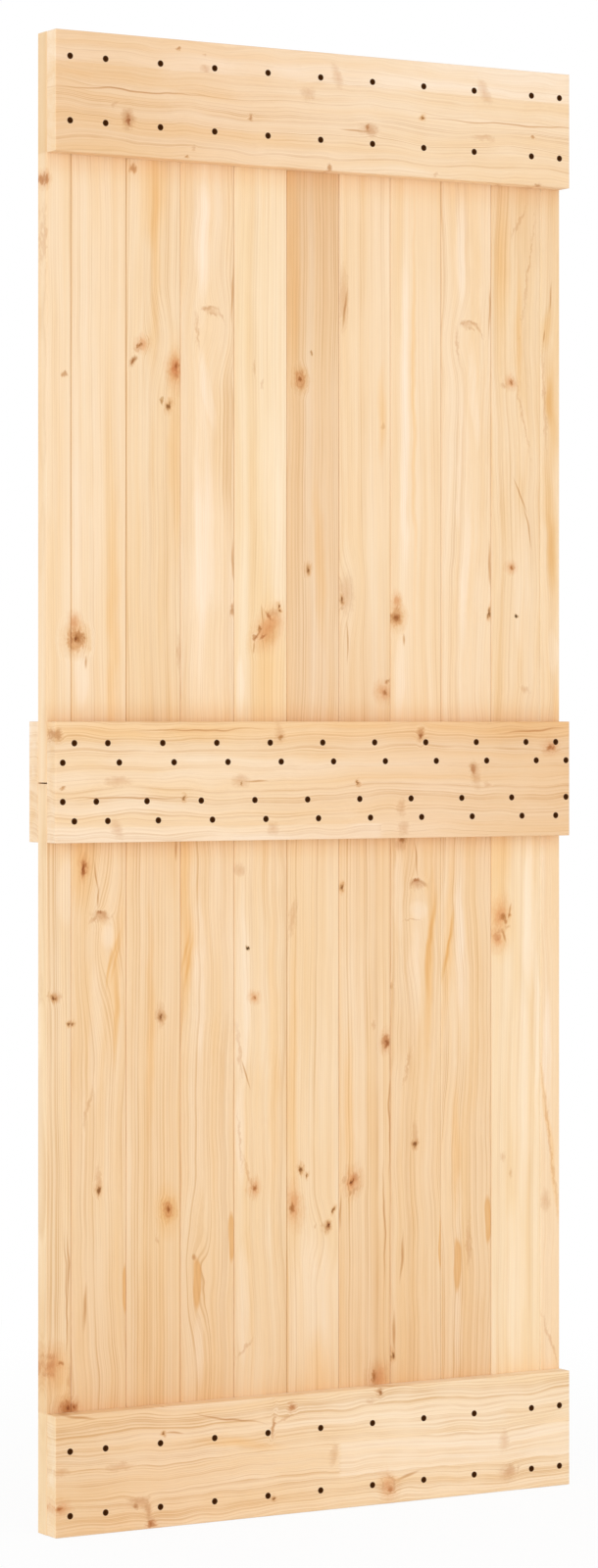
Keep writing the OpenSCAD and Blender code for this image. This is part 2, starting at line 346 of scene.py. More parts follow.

# %% Marks of the lower boards
# The heart marks of the lower boards lie at the bottom rail and darken them towards it: painted shade.
MARKS |= {
    # The pale marks on the left side of the first board and on some seams are painted light.
    "lower_board_1": [
        ("planed", -425, 602, 1, 868), ("bare", -425, 84, 1, 168), ("faint", -413, 744, 16, 14),
        ("dark", -414, 743, 9, 7, 30), ("dark", -391, 706, 5, 6), ("streak", -396, 330, 3, 170, -1),
        ("streak", -393, 370, 3, 90), ("glow", -416, 234, 22, 36), ("faint", -420, 234, 9, 10),
        ("faint", -420, 247, 12, 7), ("faint", -420, 223, 12, 6), ("brown", -404, 236, 6, 4),
        ("faint", -389, 212, 7, 34), ("red", -393, 174, 22, 18), ("core", -391, 174, 6, 7),
        ("pale", -395, 890, 26, 90), ("light", -405, 670, 60, 260), ("heart", -405, 160, WIDE, 220),
        ("warm", -404, 215, 28, 56)],
    "lower_board_2": [
        ("red", -367, 922, 9, 20), ("core", -367, 920, 6, 16), ("warm", -372, 925, 20, 70),
        ("dark", -385, 706, 5, 6), ("red", -384, 174, 12, 14), ("core", -384, 174, 4, 7),
        ("brown", -343, 860, 8, 5), ("faint", -343, 857, 18, 9), ("faint", -338, 852, 22, 11),
        ("faint", -351, 853, 4, 22, 45), ("faint", -336, 856, 4, 16, -55),
        ("streak", -349, 910, 3, 40, -12), ("streak", -344, 880, 3, 30), ("pale", -348, 690, 24, 180),
        ("pale", -330, 825, 24, 30), ("warm", -316, 770, 14, 150, 4), ("amber", -314, 795, 4, 50, 14),
        ("faint", -361, 590, 4, 40, 15), ("dark", -344, 474, 9, 11), ("faint", -344, 488, 8, 30),
        ("resin", -304, 335, 7, 76), ("streak", -367, 310, 5, 60), ("amber", -317, 806, 5, 50, 18),
        ("amber", -326, 780, 4, 50, 10), ("amber", -316, 715, 7, 120, 2), ("swirl", -338, 800, 34, 110),
        ("light", -344, 840, 400, 240), ("heart", -344, 170, WIDE, 220)],
    "lower_board_3": [
        ("dark", -246, 711, 8, 11), ("faint", -246, 714, 12, 26), ("eye", -234, 440, 15, 20),
        ("core", -233, 441, 8, 8), ("warm", -234, 440, 24, 42), ("faint", -251, 398, 4, 8),
        ("streak", -222, 945, 4, 30), ("warm", -262, 700, 8, 200), ("light", -244, 650, 10, 160),
        ("light", -257, 810, 80, 160), ("heart", -257, 160, WIDE, 220)],
    "lower_board_4": [
        ("warm", -206, 900, 14, 150), ("warm", -204, 780, 12, 130, 8), ("amber", -207, 802, 4, 50, 14),
        ("pale", -184, 770, 16, 220), ("resin", -190, 333, 13, 80), ("streak", -193, 372, 6, 10),
        ("resin", -133, 397, 12, 70), ("pale", -185, 240, 14, 100), ("swirl", -190, 350, 26, 120),
        ("amber", -202, 788, 4, 60, 10), ("light", -171, 820, 400, 240),
        ("heart", -171, 170, WIDE, 220)],
    "lower_board_5": [
        ("sawn", -41, 560, 2.4, 800), ("pin", -105, 805, 5, 5), ("glow", -95, 734, 12, 11),
        ("core", -95, 734, 5, 5), ("pale", -114, 740, 20, 260), ("faint", -119, 660, 4, 60, -6),
        ("streak", -108, 625, 3, 44, -20), ("glow", -95, 463, 14, 18), ("core", -95, 463, 8, 8),
        ("faint", -118, 530, 3, 60, -6), ("faint", -106, 485, 4, 40, -14), ("pale", -118, 540, 16, 120),
        ("pale", -114, 300, 20, 150), ("faint", -110, 236, 4, 28, 45), ("faint", -119, 915, 16, 12),
        ("warm", -62, 640, 12, 300), ("light", -84, 740, 80, 180), ("heart", -84, 160, WIDE, 220)],
    "lower_board_6": [
        ("sawn", -41, 560, 2.4, 800), ("dark", -19, 485, 7, 13, -12), ("dark", -9, 477, 3.5, 8),
        ("glow", -30, 434, 18, 40, -8), ("core", -33, 431, 8, 13), ("dark", 36, 424, 4, 9, 15),
        ("brown", 26, 401, 9, 13, 15), ("dark", 26, 402, 4, 5), ("faint", 18, 404, 5, 5),
        ("faint", 6, 402, 4, 6), ("pale", 4, 285, 78, 210), ("light", 15, 620, 40, 180),
        ("warm", 10, 200, 26, 60), ("faint", -32, 845, 9, 40, 8), ("warm", -32, 610, 10, 300),
        ("swirl", 5, 385, 40, 50), ("heart", 2, 140, WIDE, 220)],
    "lower_board_7": [
        ("dark", 50, 887, 6, 11), ("red", 125, 663, 13, 19, 10), ("core", 126, 660, 7, 9),
        ("faint", 103, 687, 4, 12), ("glow", 69, 463, 20, 27, 10), ("dark", 67, 463, 5, 7),
        ("faint", 73, 470, 9, 8), ("faint", 68, 449, 20, 4, -30), ("faint", 53, 466, 5, 8),
        ("glow", 112, 179, 24, 28), ("core", 104, 180, 9, 16), ("streak", 130, 560, 3, 180),
        ("streak", 121, 400, 3, 160), ("warm", 62, 560, 10, 160), ("streak", 47, 420, 3, 50),
        ("light", 89, 720, 70, 200), ("heart", 89, 200, WIDE, 220)],
    "lower_board_8": [
        ("bare", 218.5, 560, 2.4, 800), ("core", 152, 954, 12, 8), ("faint", 150, 948, 14, 16),
        ("streak", 174, 925, 3, 50, -8), ("brown", 177, 895, 8, 5), ("faint", 176, 892, 18, 9),
        ("faint", 178, 889, 20, 11), ("faint", 168, 838, 24, 2.5, -6), ("faint", 170, 890, 4, 18, 45),
        ("faint", 186, 892, 4, 16, -55), ("pale", 180, 850, 26, 26), ("pale", 172, 730, 22, 180),
        ("warm", 201, 790, 9, 150, 3), ("amber", 203, 800, 3, 60), ("faint", 160, 625, 4, 44, 14),
        ("faint", 134, 744, 5, 7), ("dark", 174, 511, 8, 9), ("faint", 174, 524, 9, 30),
        ("dark", 135, 208, 8, 13), ("streak", 138, 240, 5, 56, 3), ("streak", 150, 350, 4, 70, 6),
        ("resin", 216, 368, 7, 80), ("pale", 146, 880, 16, 120), ("light", 175, 780, 70, 160),
        ("amber", 204, 835, 6, 70, 8), ("amber", 197, 775, 7, 80, 2), ("swirl", 178, 830, 34, 110),
        ("heart", 175, 130, WIDE, 220)],
    "lower_board_9": [
        ("bare", 218.5, 560, 2.4, 800), ("warm", 230, 800, 10, 150, 4), ("amber", 230, 800, 3, 60, 10),
        ("pale", 250, 790, 14, 190), ("resin", 244, 332, 13, 84), ("resin", 298, 397, 12, 70),
        ("pale", 250, 420, 12, 90), ("warm", 243, 500, 10, 120), ("pale", 247, 235, 14, 110),
        ("faint", 265, 360, 6, 50), ("amber", 237, 830, 5, 50, 14), ("amber", 226, 780, 6, 60, 14),
        ("light", 262, 770, 90, 240), ("heart", 262, 160, WIDE, 220)],
    "lower_board_10": [
        ("bare", 391.5, 560, 2.4, 800), ("glow", 320, 842, 20, 32, 15), ("core", 325, 838, 11, 9, 30),
        ("brown", 329, 831, 7, 6), ("brown", 337, 840, 5, 6, 30), ("streak", 338, 846, 3, 20, 22),
        ("faint", 316, 809, 8, 10, -20), ("glow", 316, 806, 18, 24), ("faint", 322, 818, 10, 7),
        ("streak", 326, 811, 4, 20, -20), ("faint", 333, 824, 8, 3), ("warm", 318, 915, 24, 90),
        ("warm", 322, 830, 26, 60), ("faint", 325, 486, 7, 12), ("faint", 338, 462, 5, 10),
        ("pale", 372, 850, 20, 220), ("pale", 358, 570, 36, 300), ("pale", 345, 290, 32, 230),
        ("pale", 384, 700, 10, 300), ("light", 350, 300, 90, 220)],
    "lower_board_11": [
        ("bare", 391.5, 560, 2.4, 800), ("faint", 407, 510, 4, 180, -8), ("warm", 408, 510, 6, 180, -8),
        ("faint", 409, 210, 4, 70, -20), ("faint", 400, 418, 14, 24), ("pale", 404, 640, 14, 160)],
}
print("marks on all", len(MARKS), "boards:", sum(len(marks) for marks in MARKS.values()))

# %% [markdown]
# ## Painted shade beside the rails
# The front of the boards is painted a little darker and warmer in the corners beside the rails, as
# painted shade. The studio's light alone doesn't show that, so every board gets a soft band, as one
# more mark, along each edge of the top and middle rails that crosses it.

# %% Painted shade beside the rails
MM = 1000
top_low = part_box("top_rail")[0].z * MM
middle_low, middle_high = (corner.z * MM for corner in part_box("middle_rail_front"))

# The height of each edge and the length of its band of painted shade.
SHADED_RAIL_EDGES = {"upper": [(top_low, 30), (middle_high, 26)], "lower": [(middle_low, 24)]}
for board, marks in MARKS.items():
    half = board.split("_")[0]
    marks += [("corner", 0, edge, WIDE, reach) for edge, reach in SHADED_RAIL_EDGES[half]]
print("corners beside", sum(len(edges) for edges in SHADED_RAIL_EDGES.values()), "edges of rails")

# %% [markdown]
# ## Marks of the rails
# The rails lie on their sides, so their fibres run across the leaf. Such wide planks are glued up
# from strips, and one strip of each rail is paler than the rest. Their marks have the same fields.

# %% Marks of the rails
# The pale marks on the left ends of the top and bottom rails are painted light.
MARKS |= {
    "top_rail": [
        ("strip", 0, 2060, WIDE, 48), ("tan", -470, 1990, 900, 700), ("bare", -425, 1996, 1, 170),
        ("brown", -232, 2066, 5, 4), ("faint", -192, 2061, 7, 4), ("faint", -189, 2042, 12, 7),
        ("faint", -313, 1963, 14, 22, -10), ("brown", -312, 1963, 5, 10), ("faint", -312, 1962, 16, 24),
        ("brown", -310, 1957, 4, 12), ("faint", -334, 1981, 10, 5, -30), ("brown", -115, 1979, 6, 7),
        ("faint", -209, 1930, 6, 5), ("brown", -219, 1916, 6, 3), ("faint", -22, 2020, 20, 14),
        ("faint", 26, 2048, 12, 28, -20), ("faint", 78, 1975, 26, 14), ("faint", 82, 1974, 18, 14),
        ("brown", 76, 1979, 5, 7), ("streak", 55, 1973, 44, 3), ("dark", 170, 1998, 7, 7),
        ("faint", 276, 2044, 13, 30, -30), ("faint", 275, 1977, 30, 6), ("brown", 360, 1982, 4, 4),
        ("brown", 13, 1917, 7, 9), ("faint", 193, 1917, 5, 6), ("brown", 370, 1914, 8, 5),
        ("streak", -310, 2002, 240, 2.5), ("streak", 320, 1999, 300, 2.5)],
    "middle_rail_front": [
        ("strip", -165, 967, 530, 24), ("tan", 470, 1040, 900, 700), ("warm", 0, 1117, 1700, 24),
        ("brown", -421, 1107, 10, 14), ("faint", -69, 1108, 12, 20, -10), ("core", -68, 1102, 6, 7),
        ("faint", -328, 1042, 32, 10), ("faint", -132, 1042, 22, 16), ("core", -131, 1038, 5, 4),
        ("streak", -105, 1042, 34, 3), ("brown", -413, 1034, 6, 4), ("dark", -224, 1018, 5, 7),
        ("streak", -320, 1018, 190, 2.5), ("faint", -329, 975, 12, 24, -25), ("faint", -79, 974, 14, 14),
        ("brown", 167, 1107, 10, 16, 8), ("core", 167, 1105, 6, 9), ("brown", 257, 1056, 7, 14, -20),
        ("faint", 260, 1048, 14, 32, -12), ("faint", 282, 1034, 10, 5), ("dark", 61, 1037, 5, 6),
        ("glow", 391, 1088, 18, 14), ("core", 389, 1087, 10, 9), ("brown", 396, 1087, 4, 8),
        ("faint", 137, 972, 14, 14), ("faint", 134, 1002, 10, 20), ("streak", 360, 1112, 110, 3, -2),
        ("streak", -200, 1113, 190, 2.5)],
    "middle_rail_back": [
        ("strip", 0, 1108, WIDE, 40), ("eye", -250, 1075, 18, 16), ("dark", 120, 1010, 8, 7),
        ("red", 300, 1060, 18, 14), ("faint", -60, 1000, 30, 14), ("tan", 470, 1040, 900, 700)],
    "bottom_rail": [
        ("strip", 240, 70, 420, 48), ("tan", -540, 80, 900, 700), ("light", 300, 135, 460, 76),
        ("bare", -425, 84, 1, 170), ("warm", -130, 106, 80, 9, 7), ("streak", -388, 165, 50, 4, 8),
        ("dark", -255, 130, 5, 6), ("streak", -240, 128, 30, 3, 5), ("faint", -325, 90, 32, 10),
        ("faint", -415, 90, 18, 10), ("glow", -417, 40, 20, 14), ("brown", -419, 42, 8, 6),
        ("faint", -295, 38, 28, 12), ("brown", -300, 33, 6, 6), ("faint", -280, 22, 10, 26, -20),
        ("faint", -294, 41, 22, 6), ("faint", -281, 27, 7, 18, -10), ("red", -275, 6, 10, 7),
        ("dark", -79, 25, 6, 7), ("red", -48, 151, 9, 8), ("brown", -79, 128, 5, 26, 8),
        ("faint", -62, 135, 24, 4, -20), ("brown", 97, 161, 10, 10), ("core", 98, 160, 7, 8),
        ("faint", 81, 149, 12, 5), ("faint", 20, 78, 10, 24, 8), ("glow", 112, 24, 20, 28, -15),
        ("brown", 115, 19, 6, 9), ("faint", 117, 35, 4, 15, -50), ("faint", 122, 23, 4, 14),
        ("faint", 102, 29, 4, 12, -8), ("streak", 146, 38, 40, 5, -14), ("faint", 310, 74, 12, 26),
        ("faint", 316, 27, 25, 20), ("faint", 320, 29, 14, 13), ("faint", 335, 30, 4, 12),
        ("streak", -150, 142, 110, 3, 12)],
}
print("marks on the rails:", sum(len(marks) for name, marks in MARKS.items() if "rail" in name))

# %% [markdown]
# ## Tones of the boards
# No two boards come from the same place in a trunk. Sapwood is cream, heartwood is warmer, and a
# few boards are almost honey. A handful of named tones covers the leaf, each with how dark its
# ring lines are and how far apart they lie.

# %% Tones
# Each tone: its colour, the strength of its rings, the distance between them in millimetres.
TONES = {
    "ivory": (srgb(253, 225, 185), 0.70, 4.5),
    "cream": (srgb(252, 222, 183), 0.90, 3.8),
    "straw": (srgb(250, 219, 178), 1.05, 4.2),
    "peach": (srgb(248, 214, 171), 1.35, 5.0),
    "honey": (srgb(244, 208, 165), 1.10, 5.4),
    "rail": (srgb(251, 221, 183), 1.10, 5.0),
    "fair": (srgb(253, 226, 189), 1.10, 5.0),
}
BOARD_TONES = {
    "upper": "cream cream straw cream ivory honey cream cream cream straw straw".split(),
    "lower": "straw peach peach peach straw straw peach peach peach ivory cream".split(),
}

# Boards whose ring lines are fainter or clearer than their tone's, and boards whose grain is wavy.
CLARITY = {
    "upper_board_4": 1.2, "upper_board_8": 0.6, "upper_board_9": 1.1, "upper_board_10": 0.85,
    "upper_board_11": 0.5, "lower_board_1": 1.15, "lower_board_2": 1.15, "lower_board_4": 1.2,
    "lower_board_5": 0.8, "lower_board_8": 0.8, "lower_board_10": 0.8, "lower_board_11": 0.5,
    "bottom_rail": 1.35,
}
WAVY = {"upper_board_4", "upper_board_9", "upper_board_10", "upper_board_11", "lower_board_2",
        "lower_board_4", "lower_board_5", "lower_board_8", "lower_board_9", "lower_board_11"}
print("tones", list(TONES))

# %% [markdown]
# ## Rims of the screw holes
# A countersunk head crushes the fibres at the edge of its hole and leaves a little of its coating
# there, and the gap round the head lies in shade, so a thin dark rim is painted round it: part coating,
# part painted shade. Marks could draw the rims, but only the nearest screw matters to a point, so one
# ramp is enough. The tips of the screws tell where they stand.

# %% Where the screws stand
# How near to the deepest point a tip lies, and how far from a screw its rim has faded, in millimetres.
TIP_REACH = 0.1
RIM_FADE = 10
# The dark rim of a screw: part coating, part painted shade of the gap round its head.
RIM = [(0.43, stain(66, 36, 12, 0.0)), (0.47, CLEAR)]


def screw_places(group):
    """Where the screws of a group stand, across the leaf and in height, in millimetres."""
    points = [nodes[group].matrix_world @ v.co * MM for v in nodes[group].data.vertices]
    deepest = max(p.y for p in points)
    return sorted({(round(p.x, 1), round(p.z, 1)) for p in points if p.y > deepest - TIP_REACH})


RAIL_SCREWS = {"top_rail": screw_places("top_rail_screws"),
               "middle_rail_front": screw_places("middle_rail_screws"),
               "bottom_rail": screw_places("bottom_rail_screws")}
print("screws in the rails:", [len(places) for places in RAIL_SCREWS.values()])

# %% [markdown]
# ## Pine
# A trunk is a stack of thin cones, one for each year, and a board is a slice of it. So the material
# measures how far each point lies from the trunk's heart, which runs along the board, and draws a
# line wherever a year ends. Noise bends the heart, marks push the rings aside, and stretched noise
# adds the fibres. Because it is worked out in space, edges and sawn ends show the same rings.

# %% Noise and places in a piece
SEED_STEPS = (1.0, 0.7, 1.3)


def noise(place, stretch, seed, detail=2.0, out="Fac", roughness=0.55):
    """Soft noise, stretched by a number of features per millimetre on each axis."""
    moved = place.vector("MULTIPLY_ADD", place, stretch, tuple(seed * step for step in SEED_STEPS))
    sockets = {"Vector": moved, "Scale": 1.0, "Detail": detail, "Roughness": roughness}
    return place.add("ShaderNodeTexNoise", None, sockets, out)


def grain_place(place, middle, lying):
    """Place in millimetres as (across, depth, along) from the middle of a piece."""
    local = place.vector("MULTIPLY_ADD", place, (MM,) * 3, tuple(-v * MM for v in middle))
    if not lying:
        return local
    parts = local.add("ShaderNodeSeparateXYZ", None, {0: local})
    return local.add("ShaderNodeCombineXYZ", None, {0: parts.also(2), 1: parts.also(1), 2: parts.also(0)})


def moved_by(local, wobble, reach):
    """A place moved up to half of a reach each way by a noise colour."""
    start = local.vector("SUBTRACT", local, (reach / 2,) * 3)
    return wobble.vector("MULTIPLY_ADD", wobble, (reach,) * 3, start)


print("noise ready")

# %% [markdown]
# ## What the marks do
# A mark stains the wood, calms the ring lines inside it, pushes the grain aside and lifts it, so that
# rings close round it. Noise frays or sways its edge. All marks of a piece are gathered as they come,
# each one on top of the last, because a long list of loose values is more than a material can hold
# at once.

# %% Places of the marks
# A corner's band of painted shade fades out through one board, and every other mark runs through its whole
# piece.
board_low, board_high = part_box("upper_board_1")
BOARD_DEPTH = (board_high.y - board_low.y) * MM
THROUGH = 1e5


def mark_shape(middle, lying, kind, x, z, width, length, turn=0):
    """The middle, the reach and the turn of a mark, as the grain of its piece runs."""
    start_depth, depth = (-BOARD_DEPTH / 2, BOARD_DEPTH) if kind == "corner" else (0, THROUGH)
    centre = (x - middle.x * MM, start_depth, z - middle.z * MM)
    reach = (width / 2 * FADE_RADII, depth, length / 2 * FADE_RADII)
    tilt = math.radians(turn)
    if lying:
        return centre[::-1], reach[::-1], -tilt
    return centre, reach, tilt


def mark_distance(start, kind, centre, reach, tilt):
    """How far a place lies from the middle of a mark, with 1 where its stain has faded."""
    sockets = {"Vector": start, "Location": centre, "Rotation": (0, tilt, 0), "Scale": reach}
    inside = start.add("ShaderNodeMapping", {"vector_type": "TEXTURE"}, sockets)
    if kind not in SHARP:
        return inside.vector("LENGTH", inside)
    sides = inside.vector("ABSOLUTE", inside)
    parts = sides.add("ShaderNodeSeparateXYZ", None, {0: sides})
    return parts.math("MAXIMUM", parts, parts.also(2))


print("corners fade over", round(BOARD_DEPTH, 3), "mm of depth")

# %% Fields of the marks
# Features per millimetre of the noises that fray, mottle and sway a mark, and how much each one does.
FRAY_STRETCH = (0.10, 0.10, 0.06)
FRAY = 15.0
MOTTLE_STRETCH = (0.3, 0.3, 0.2)
MOTTLE = 0.28
SWAY_STRETCH = (0.012, 0.012, 0.012)
SWAY = 16.0


def mark_fields(local, middle, lying, marks, spacing):
    """What all the marks of a piece do: their stain, the grain they leave, their push and their lift."""
    rough = noise(local, FRAY_STRETCH, 3.1, detail=3.0, out="Color", roughness=0.62)
    mottle = noise(local, MOTTLE_STRETCH, 5.7, detail=1.0) * MOTTLE - MOTTLE / 2
    slow = noise(local, SWAY_STRETCH, 8.6, out="Color")
    shaken, swayed = moved_by(local, rough, FRAY), moved_by(local, slow, SWAY)
    tint, calm, push, lift = (1, 1, 1, 1), 1.0, (0, 0, 0), 0.0
    for kind, *numbers in marks:
        centre, reach, tilt = mark_shape(middle, lying, kind, *numbers)
        start = local if kind in SHARP else swayed if kind in FLOWING else shaken
        far = mark_distance(start, kind, centre, reach, tilt)
        if kind == "strip":
            lift = far.math("LESS_THAN", far, 1 / FADE_RADII) * STRIP_STEP + lift
        if kind in STAINS:
            edge = far if kind in FLOWING | SHARP else far + mottle
            colour = far.add("ShaderNodeValToRGB", {"stops": STAINS[kind]}, {"Fac": edge})
            tint = blend(colour, tint, 1.0, "MULTIPLY")
            calm = colour.also(1) * calm
        if kind in LIFT:
            near = far.add("ShaderNodeMapRange", {"interpolation_type": "SMOOTHSTEP"},
                           {"Value": far, "To Min": 1.0, "To Max": 0.0})
            lift = near * (LIFT[kind] * spacing) + lift
        if kind in PUSH:
            away = swayed.vector("SUBTRACT", swayed, centre)
            shove = away.vector("SCALE", away, Scale=near * -PUSH[kind])
            push = shove.vector("ADD", shove, push)
    return tint, calm, push, lift


def rim_coating_and_shade(local, middle, screws):
    """The tint of a rail close to its screws, part coating and part painted shade, which depends on how
    far the nearest one is.
    """
    flat = local.vector("MULTIPLY", local, (1, 0, 1))
    nearest = RIM_FADE
    for x, z in screws:
        far = flat.vector("DISTANCE", flat, (z - middle.z * MM, 0, x - middle.x * MM))
        nearest = far.math("MINIMUM", far, nearest)
    return nearest.add("ShaderNodeValToRGB", {"stops": RIM}, {"Fac": nearest / RIM_FADE})


print("fields of", len(STAINS), "kinds of mark ready")

# %% [markdown]
# ## Years
# The heart of the trunk lies beside each piece, a little behind it, and wanders along it. The years
# round it differ in width and in how dark their late wood is. A wood texture node draws even rings,
# so the distance from the heart is worked out here, and a ramp draws each year's late wood.

# %% Trunks
# A trunk for each cut: how far its heart lies beside and behind the piece, how far and how often it
# sways, how rough that is, how often its rings fade, and how much wider its years are than a tone's.
TRUNKS = {
    "straight": {"beside": (90, 130), "behind": (10, 40), "sway": 26, "bends": (0.003, 0.003, 0.0016),
                 "ripple": 0.55, "patches": (0.02, 0.02, 0.005), "years": 1.0},
    "wavy": {"beside": (90, 130), "behind": (10, 40), "sway": 44, "bends": (0.003, 0.003, 0.0026),
             "ripple": 0.55, "patches": (0.02, 0.02, 0.005), "years": 1.3},
    "wide": {"beside": (130, 170), "behind": (20, 60), "sway": 50, "bends": (0.005, 0.005, 0.003),
             "ripple": 0.64, "patches": (0.02, 0.02, 0.011), "years": 1.0},
}
SIDE_LEAN = 0.012
DEEP_LEAN = 0.004


def heart_distance(local, trunk, seed, push, lift):
    """The bent grain of a piece, and how far each point of it lies from the heart of its trunk."""
    draw = random.Random(seed)
    heart = (draw.choice((-1, 1)) * draw.uniform(*trunk["beside"]), draw.uniform(*trunk["behind"]))
    lean = (draw.uniform(-SIDE_LEAN, SIDE_LEAN), draw.uniform(-DEEP_LEAN, DEEP_LEAN))
    wander = noise(local, trunk["bends"], seed, detail=3.0, out="Color", roughness=trunk["ripple"])
    sway = (trunk["sway"], trunk["sway"], 0)
    grain = local.vector("MULTIPLY_ADD", wander, sway, local.vector("ADD", local, push))
    across = grain.add("ShaderNodeSeparateXYZ", None, {0: grain})
    depth, along = across.also(1), across.also(2)
    side_way = across - heart[0] - along * lean[0]
    deep_way = depth - heart[1] - along * lean[1]
    square = side_way * side_way + deep_way * deep_way
    return grain, square.math("SQRT", square) + lift


print("trunks", list(TRUNKS))

# %% Lines of the years
# Grey along one year, from the end of the last year's late wood to the end of its own.
LATE_WOOD = [(0.0, (0.5, 0.5, 0.5, 1)), (0.12, (0.0, 0.0, 0.0, 1)), (0.4, (0.1, 0.1, 0.1, 1)),
             (0.72, (0.7, 0.7, 0.7, 1)), (0.9, (1.0, 1.0, 1.0, 1)), (1.0, (0.5, 0.5, 0.5, 1))]

# How often the width of the years changes per millimetre, and by how many years.
WIDTH_CHANGES = 0.045
WIDTH_SWING = 2.2
FAINTEST_YEAR = 0.2
PATCH_SEED = 41
PATCH_GAIN = 1.8
PATCH_LOSS = 0.2


def ring_lines(grain, radius, trunk, seed, spacing):
    """The late wood of each year, darker in some years and in some patches."""
    outwards = radius * WIDTH_CHANGES + seed
    uneven = radius.add("ShaderNodeTexNoise", {"noise_dimensions": "1D"}, {"W": outwards, "Detail": 1.0})
    years = radius / spacing + uneven * WIDTH_SWING
    year = years.math("FLOOR", years) + seed
    strength = years.add("ShaderNodeTexWhiteNoise", {"noise_dimensions": "1D"}, {"W": year})
    phase = years.math("FRACT", years)
    late = phase.add("ShaderNodeValToRGB", {"stops": LATE_WOOD}, {"Fac": phase})
    patch = noise(grain, trunk["patches"], seed + PATCH_SEED)
    strength = strength * (1 - FAINTEST_YEAR) + FAINTEST_YEAR
    return late * strength * (patch * PATCH_GAIN - PATCH_LOSS)


print("rings ready")

# %% [markdown]
# ## The wood of one piece
# Broad bands run from pale to warm along the grain, ring lines lie on them, fine fibres shade the
# whole, and the stains of the marks come last. A finer noise along the grain gives the planed face its
# slight relief. Cutting that into the mesh would cost many faces for something so shallow.

# %% Colour of the wood
# Features per millimetre across, in depth and along the grain, and where each noise starts.
FIBRES = (0.8, 0.8, 0.010)
FIBRE_SEED = 11
BANDS = (0.05, 0.05, 0.0020)
BAND_SEED = 23
BAND_CONTRAST = 2.4
PALE_BAND = (1.02, 1.055, 1.13, 1)
WARM_BAND = (0.98, 0.925, 0.83, 1)
RING_TINT = (0.81, 0.69, 0.55, 1)
FIBRE_SHADES = (0.10, 0.13, 0.18)


def wood_colour(grain, fibre, ring, colour, seed):
    """The colour of clean wood: bands from pale to warm, ring lines on them and fibres over all."""
    band = noise(grain, BANDS, seed + BAND_SEED)
    warmth = (band - 0.5) * BAND_CONTRAST + 0.5
    pale = tuple(c * m for c, m in zip(colour, PALE_BAND))
    warm = tuple(c * m for c, m in zip(colour, WARM_BAND))
    wood = band.add("ShaderNodeValToRGB", {"stops": [(0.0, pale), (1.0, warm)]}, {"Fac": warmth})
    line = blend(wood, RING_TINT, 1.0, "MULTIPLY")
    wood = blend(wood, line, ring)
    shades = {channel: fibre * depth + (1 - depth / 2) for channel, depth in enumerate(FIBRE_SHADES)}
    return blend(wood, fibre.add("ShaderNodeCombineColor", None, shades), 1.0, "MULTIPLY")


print("colour of clean wood ready")

# %% Wood of one piece
RELIEF = (1.1, 1.1, 0.012)
RELIEF_SEED = 31
RELIEF_STRENGTH = 0.25
RELIEF_HEIGHT = 0.0003
ROUGHNESS = 0.62
FIBRE_GLOSS = 0.12
RING_GLOSS = 0.06


def pine(name, tone, seed, lying=False, screws=()):
    """The material of one board or rail."""
    low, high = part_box(name)
    middle = (low + high) / 2
    colour, contrast, spacing = TONES[tone]
    contrast *= CLARITY.get(name, 1.0)
    trunk = TRUNKS["wide" if lying else "wavy" if name in WAVY else "straight"]
    spacing *= trunk["years"]
    material, shader, place = new_material(f"pine_{name}")
    local = grain_place(place, middle, lying)
    tint, calm, push, lift = mark_fields(local, middle, lying, MARKS[name], spacing)
    # Dark rims round the screws: part coating, part painted shade.
    if screws:
        tint = blend(rim_coating_and_shade(local, middle, screws), tint, 1.0, "MULTIPLY")
    grain, radius = heart_distance(local, trunk, seed, push, lift)
    ring = ring_lines(grain, radius, trunk, seed, spacing) * contrast * calm
    fibre = noise(grain, FIBRES, seed + FIBRE_SEED, detail=3.0)
    wood = blend(wood_colour(grain, fibre, ring, colour, seed), tint, 1.0, "MULTIPLY")

    relief = noise(local, RELIEF, seed + RELIEF_SEED)
    sockets = {"Strength": RELIEF_STRENGTH, "Distance": RELIEF_HEIGHT, "Height": relief}
    bump = relief.add("ShaderNodeBump", None, sockets)
    plug(shader, "Base Color", wood)
    plug(shader, "Roughness", ROUGHNESS - fibre * FIBRE_GLOSS - ring * RING_GLOSS)
    plug(shader, "Normal", bump)
    plug(shader, "IOR", 1.45)
    plug(shader, "Specular IOR Level", 0.3)
    return material


print("wood ready")

# %% [markdown]
# ## Wood on every piece
# One material on all boards would show the same rings in each of them, so every board and rail gets
# a material of its own, grown from its own seed. Rails also get the rims of their screws.

# %% Wood on every piece
BOARD_SEEDS = {"upper": 0, "lower": 100}
BOARD_STEP = 7.3
RAIL_SEED = 300
RAIL_STEP = 9.1
RAIL_TONES = {"top_rail": "rail", "middle_rail_front": "rail", "middle_rail_back": "rail",
              "bottom_rail": "fair"}
for half, tones in BOARD_TONES.items():
    for number, tone in enumerate(tones, 1):
        board = f"{half}_board_{number}"
        wood = pine(board, tone, seed=number * BOARD_STEP + BOARD_SEEDS[half])
        nodes[board].data.materials.clear()
        nodes[board].data.materials.append(wood)
for number, (rail, tone) in enumerate(RAIL_TONES.items()):
    seed = RAIL_SEED + number * RAIL_STEP
    wood = pine(rail, tone, seed, lying=True, screws=RAIL_SCREWS.get(rail, ()))
    nodes[rail].data.materials.clear()
    nodes[rail].data.materials.append(wood)
print("pine on", len(MARKS), "pieces")

# %% [markdown]
# ## Screws
# The screws have a dark brown coating, dull and a little cloudy. A flat colour would look like a hole,
# so soft noise moves between two close browns. The heads sit flush with the face of the rails.

